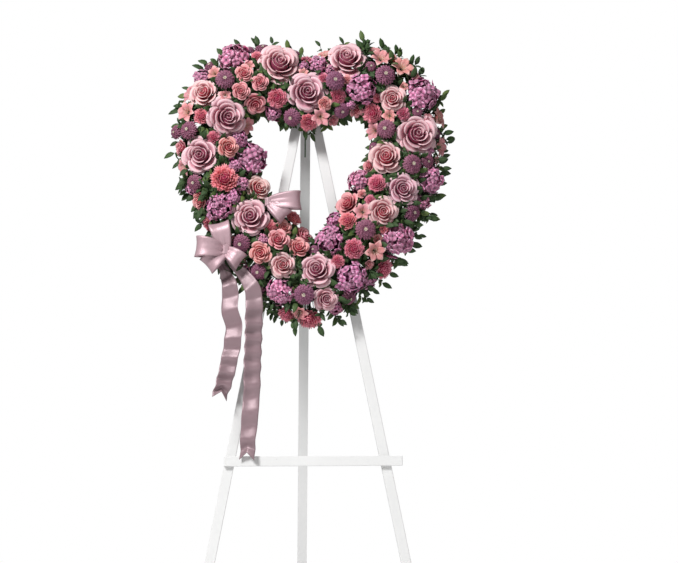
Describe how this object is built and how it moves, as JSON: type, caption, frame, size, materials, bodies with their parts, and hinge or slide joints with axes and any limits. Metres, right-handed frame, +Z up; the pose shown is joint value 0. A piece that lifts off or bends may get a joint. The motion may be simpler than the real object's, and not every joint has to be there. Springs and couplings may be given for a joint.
{
  "type": "funeral wreath on easel",
  "caption": "Heart-shaped wreath of fresh flowers tied to a folding wooden easel, with a satin bow and hanging tails, for a funeral or memorial display.",
  "frame": {"origin": "on the floor, under the middle of the stand's footprint", "axes": "+Z up, flowers face -Y, +X to the viewer's right"},
  "size_m": [0.501, 0.4932, 1.2521],
  "materials": {
    "painted_wood": "satin white paint over pine lath",
    "bracket_steel": "zinc plated pressed steel",
    "green_tray": "moulded dark green backing",
    "wet_foam": "soaked green floral foam",
    "green_wire": "green lacquered florist wire",
    "mauve_satin": "dusty mauve satin",
    "leaves": "glossy small green leaves",
    "rose_petals": "mauve-pink rose petals with pale rims",
    "pale_rose_petals": "cream to peach rose petals",
    "spray_rose_petals": "peach-pink small rose petals",
    "carnation_petals": "coral to deep pink ruffled petals",
    "mum_petals": "purple-violet petals with a pale green eye",
    "hydrangea_florets": "orchid-lilac florets",
    "pink_lily_petals": "pink streaked petals"
  },
  "bodies": {
    "stand_front": {"easel_leg_left": "painted_wood", "easel_leg_right": "painted_wood", "easel_crossbar": "painted_wood", "easel_head_block": "painted_wood", "pivot_bracket": "bracket_steel", "pivot_bolt": "bracket_steel", "backing_tray": "green_tray", "foam_heart": "wet_foam", "wire_tie_top": "green_wire", "wire_tie_left": "green_wire", "wire_tie_right": "green_wire", "ribbon_bow": "mauve_satin", "ribbon_loops_inner": "mauve_satin", "ribbon_tail_left": "mauve_satin", "ribbon_tail_right": "mauve_satin", "foliage_outer_right": "leaves", "foliage_outer_left": "leaves", "foliage_outer_bottom": "leaves", "foliage_inner_right": "leaves", "foliage_inner_left": "leaves", "rose_top_left": "rose_petals", "rose_cleft": "rose_petals", "rose_top_right": "rose_petals", "rose_right_upper": "rose_petals", "rose_right_inner": "pale_rose_petals", "rose_right_middle": "rose_petals", "rose_right_lower": "pale_rose_petals", "rose_left_upper": "rose_petals", "rose_left_middle": "rose_petals", "rose_left_side": "pale_rose_petals", "rose_left_lower": "rose_petals", "rose_left_inner": "pale_rose_petals", "rose_bottom": "rose_petals", "rose_peach_upper": "pale_rose_petals", "rose_bottom_left": "pale_rose_petals", "rose_bottom_tip": "rose_petals", "spray_roses_top_left": "spray_rose_petals", "spray_roses_left": "spray_rose_petals", "spray_roses_bottom": "spray_rose_petals", "spray_rose_right_inner": "spray_rose_petals", "carnation_left": "carnation_petals", "carnation_top_left": "carnation_petals", "carnations_right": "carnation_petals", "carnations_lower_right": "carnation_petals", "carnations_bottom": "carnation_petals", "carnation_inner_bottom": "carnation_petals", "mums_left": "mum_petals", "mums_lower_left": "mum_petals", "mums_cleft": "mum_petals", "mums_top_right": "mum_petals", "mums_right": "mum_petals", "hydrangea_top_left": "hydrangea_florets", "hydrangeas_left": "hydrangea_florets", "hydrangeas_top_right": "hydrangea_florets", "hydrangeas_right": "hydrangea_florets", "hydrangea_bottom_left": "hydrangea_florets", "lilies_top_right": "pink_lily_petals", "lily_lower_right": "pink_lily_petals", "lily_left": "pink_lily_petals"},
    "rear_leg": {"easel_rear_leg": "painted_wood"}
  },
  "joints": [
    {"name": "rear_leg_fold", "type": "hinge", "parent": "stand_front", "child": "rear_leg", "pos_m": [0, -0.06872, 1.1536], "axis": [1, 0, 0], "range_deg": [-22, 0]}
  ]
}
